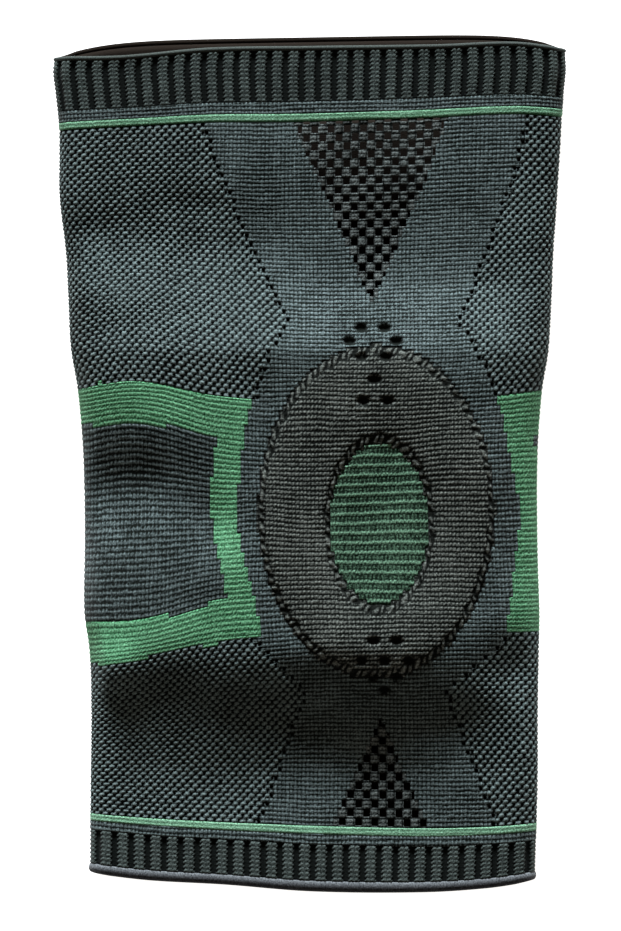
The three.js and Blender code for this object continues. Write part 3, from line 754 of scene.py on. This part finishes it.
def addNode(tree, kind, settings=None, inputs=None, links=()):
    node = tree.nodes.new(kind)
    for label, value in (settings or {}).items():
        setattr(node, label, value)
    for label, value in (inputs or {}).items():
        node.inputs[label].default_value = value
    for source, output, target in links:
        tree.links.new(source.outputs[output], node.inputs[target])
    return node


# the yarn's colour shows on the crests only; the gaps between the loops are painted shade, nearly black
# or deep green, and "dark" is the height under which only that painted shade shows
yarns = {
    "plain_knit": {"yarn": "#637070", "gapShade": "#0a0f0c", "sheen": 0.06, "dark": 0.3},
    "moss_knit": {"yarn": "#5f6c6b", "gapShade": "#040706", "sheen": 0.06, "dark": 0.38},
    "open_knit": {"yarn": "#666d6b", "gapShade": "#060907", "sheen": 0.05, "dark": 0.3},
    "pad_knit": {"yarn": "#737872", "gapShade": "#0a0d0a", "sheen": 0.05, "dark": 0.3},
    "window_knit": {"yarn": "#6b8f76", "gapShade": "#0a190f", "sheen": 0.05, "dark": 0.22},
    "green_knit": {"yarn": "#6ca47d", "gapShade": "#1f4a2d", "sheen": 0.06, "dark": 0.22},
    "stripe_knit": {"yarn": "#7da78b", "gapShade": "#2a5236", "sheen": 0.05, "dark": 0.22},
    "rib_knit": {"yarn": "#4c5552", "gapShade": "#060a08", "sheen": 0.05, "dark": 0.34},
    "dark_edge": {"yarn": "#323734", "gapShade": "#1a1511", "sheen": 0.03, "dark": 0.22},
    "grey_edge": {"yarn": "#55585a", "gapShade": "#26272a", "sheen": 0.08, "dark": 0.22},
}
yarnLook = {
    "lining": "#1a140f",       # the inside of the tube: brown elastic yarn, darkened further as painted shade
    "stitchWidth": 1.274,      # mm, one unit of the stitch map
    "tuft": 0.49,              # mm, a clump of fibres; single ones are too fine to show
    "patch": 16.667,           # mm, where the yarn took the dye a little more or less
    "stitchTone": 0.14,        # how far one stitch differs from the next
    "tuftTone": 0.9,
    "patchTone": 0.3,
    "crest": 0.95,             # the height at which the yarn has its full colour
    "fuzz": 3.6,               # how strongly the tufts lighten and darken the yarn
    "fuzzDark": -0.8,          # and how far that starts below black
    "bump": 0.3,               # mm
    "bumpStrength": 0.6,
    "roughness": 0.85,
    "specular": 0.04,          # so low that no grey film of light lies over the gaps
    "sheenRoughness": 0.5,
}


def knittedYarn(slot):
    # textured nylon yarn, knitted: matt, with a faint sheen at grazing angles, and painted shade between its
    # loops
    yarn, look = yarns[slot], yarnLook
    material = bpy.data.materials.new("knitted_nylon_" + slot)
    material.use_nodes = True
    tree = material.node_tree
    shader = tree.nodes["Principled BSDF"]
    relief = addNode(tree, "ShaderNodeAttribute", {"attribute_name": "relief"})
    inside = addNode(tree, "ShaderNodeAttribute", {"attribute_name": "inside"})
    uv = addNode(tree, "ShaderNodeUVMap", {"uv_map": "stitches"})
    place = addNode(tree, "ShaderNodeTexCoord")
    whole = addNode(tree, "ShaderNodeVectorMath", {"operation": "FLOOR"}, {}, [(uv, "UV", 0)])
    stitch = addNode(tree, "ShaderNodeTexWhiteNoise", {"noise_dimensions": "2D"}, {}, [(whole, 0, "Vector")])
    patches = addNode(tree, "ShaderNodeTexNoise", {}, {"Scale": 1 / (look["patch"] * mm), "Detail": 2.0},
                      [(place, "Object", "Vector")])
    tufts = addNode(tree, "ShaderNodeTexNoise", {},
                    {"Scale": look["stitchWidth"] / look["tuft"], "Detail": 4.0, "Roughness": 0.7},
                    [(uv, "UV", "Vector")])
    height = relief, "Fac"
    for source, output, reach in ((stitch, "Value", look["stitchTone"]), (tufts, "Fac", look["tuftTone"]),
                                  (patches, "Fac", look["patchTone"])):
        shift = addNode(tree, "ShaderNodeMath", {"operation": "MULTIPLY_ADD"}, {1: reach, 2: -reach / 2},
                        [(source, output, 0)])
        height = addNode(tree, "ShaderNodeMath", {"operation": "ADD"}, {}, [(*height, 0), (shift, 0, 1)]), 0
    # the ramp paints shade into the yarn's low places: the gap colour below "dark", the yarn's own colour on
    # the crests
    ramp = addNode(tree, "ShaderNodeValToRGB", {}, {}, [(*height, "Fac")])
    gapShade, crest = ramp.color_ramp.elements
    gapShade.position, gapShade.color = yarn["dark"], linear(yarn["gapShade"])
    crest.position, crest.color = look["crest"], linear(yarn["yarn"])
    fuzz = addNode(tree, "ShaderNodeMath", {"operation": "MULTIPLY_ADD"},
                   {1: look["fuzz"], 2: look["fuzzDark"]}, [(tufts, "Fac", 0)])
    fuzzy = addNode(tree, "ShaderNodeMix", {"data_type": "RGBA", "blend_type": "MULTIPLY"}, {0: 1.0},
                    [(ramp, "Color", 6), (fuzz, 0, 7)])
    # inside faces take the lining's colour: brown yarn and painted shade
    colour = addNode(tree, "ShaderNodeMix", {"data_type": "RGBA"}, {7: linear(look["lining"])},
                     [(inside, "Fac", 0), (fuzzy, 2, 6)])
    tree.links.new(colour.outputs[2], shader.inputs["Base Color"])
    bump = addNode(tree, "ShaderNodeBump", {},
                   {"Strength": look["bumpStrength"], "Distance": look["bump"] * mm},
                   [(tufts, "Fac", "Height")])
    tree.links.new(bump.outputs["Normal"], shader.inputs["Normal"])
    shader.inputs["Roughness"].default_value = look["roughness"]
    shader.inputs["Specular IOR Level"].default_value = look["specular"]
    shader.inputs["Sheen Weight"].default_value = yarn["sheen"]
    shader.inputs["Sheen Roughness"].default_value = look["sheenRoughness"]
    return material


def dress(piece, node, slot, materials):
    if slot not in materials:
        materials[slot] = knittedYarn(slot)
    piece.data.materials.append(materials[slot])
    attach(piece, "root")
    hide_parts(node)


# floor, light and camera

stage = {
    "floor": "#f4f3f1",
    "floorSize": 6,            # m
    "floorGlow": 1.1,          # keeps the shadows on the paper pale
    "keyAngles": (15, 94),     # degrees over the floor, and round from +X
    "keyStrength": 13,
    "keySoftness": 12,         # degrees across
    "keyColour": "#f0f8ff",
    "roomStrength": 0.22,
    "roomColour": "#ffeede",
    "cameraHeight": 2.6,
    "frameHeight": 0.3059,     # m, what the picture covers from its foot to its top
    "frameLevel": 0.012,       # m over the floor, where it covers that
    "middle": (0.0003, -0.0008),
    "sensor": 24,              # mm, the camera's
}


def layPaper():
    # pale matt paper
    bpy.ops.mesh.primitive_plane_add(size=stage["floorSize"], location=(0, 0, 0))
    floor = bpy.context.object
    floor.name = "floor"
    paper = bpy.data.materials.new("pale_paper")
    paper.use_nodes = True
    shader = paper.node_tree.nodes["Principled BSDF"]
    shader.inputs["Base Color"].default_value = linear(stage["floor"])
    shader.inputs["Roughness"].default_value = 0.9
    shader.inputs["Emission Color"].default_value = linear(stage["floor"])
    shader.inputs["Emission Strength"].default_value = stage["floorGlow"]
    floor.data.materials.append(paper)


def lightFromWindow():
    height, bearing = (math.radians(angle) for angle in stage["keyAngles"])
    level = math.cos(height)
    towards = Vector((level * math.cos(bearing), level * math.sin(bearing), math.sin(height)))
    data = bpy.data.lights.new("window_light", "SUN")
    data.energy = stage["keyStrength"]
    data.angle = math.radians(stage["keySoftness"])
    data.color = linear(stage["keyColour"])[:3]
    light = bpy.data.objects.new("window_light", data)
    light.rotation_euler = towards.to_track_quat("Z", "Y").to_euler()
    bpy.context.scene.collection.objects.link(light)
    world = bpy.data.worlds.new("studio")
    world.use_nodes = True
    background = world.node_tree.nodes["Background"]
    background.inputs["Color"].default_value = linear(stage["roomColour"])
    background.inputs["Strength"].default_value = stage["roomStrength"]
    bpy.context.scene.world = world
    bpy.context.scene.view_settings.view_transform = "Standard"


def cameraAbove():
    # straight down, from so far that the sleeve's height over the paper hardly widens it
    data = bpy.data.cameras.new("camera")
    camera = bpy.data.objects.new("camera", data)
    camera.location = (*stage["middle"], stage["cameraHeight"])
    data.sensor_fit = "VERTICAL"
    data.sensor_height = stage["sensor"]
    data.sensor_width = stage["sensor"]
    data.lens = stage["sensor"] * (stage["cameraHeight"] - stage["frameLevel"]) / stage["frameHeight"]
    bpy.context.scene.collection.objects.link(camera)
    bpy.context.scene.camera = camera


materials = {}
layPaper()
for name, piece in knitZones():
    dress(piece, name, zones[name]["slot"], materials)
print("body knitted")
for name in ("upper_cuff", "lower_cuff"):
    dress(ribbedCuff(name), name, "rib_knit", materials)
dress(rolledHem("upper_hem"), "upper_hem", "dark_edge", materials)
dress(rolledHem("lower_hem"), "lower_hem", "grey_edge", materials)
print("cuffs and hems made")
lightFromWindow()
cameraAbove()
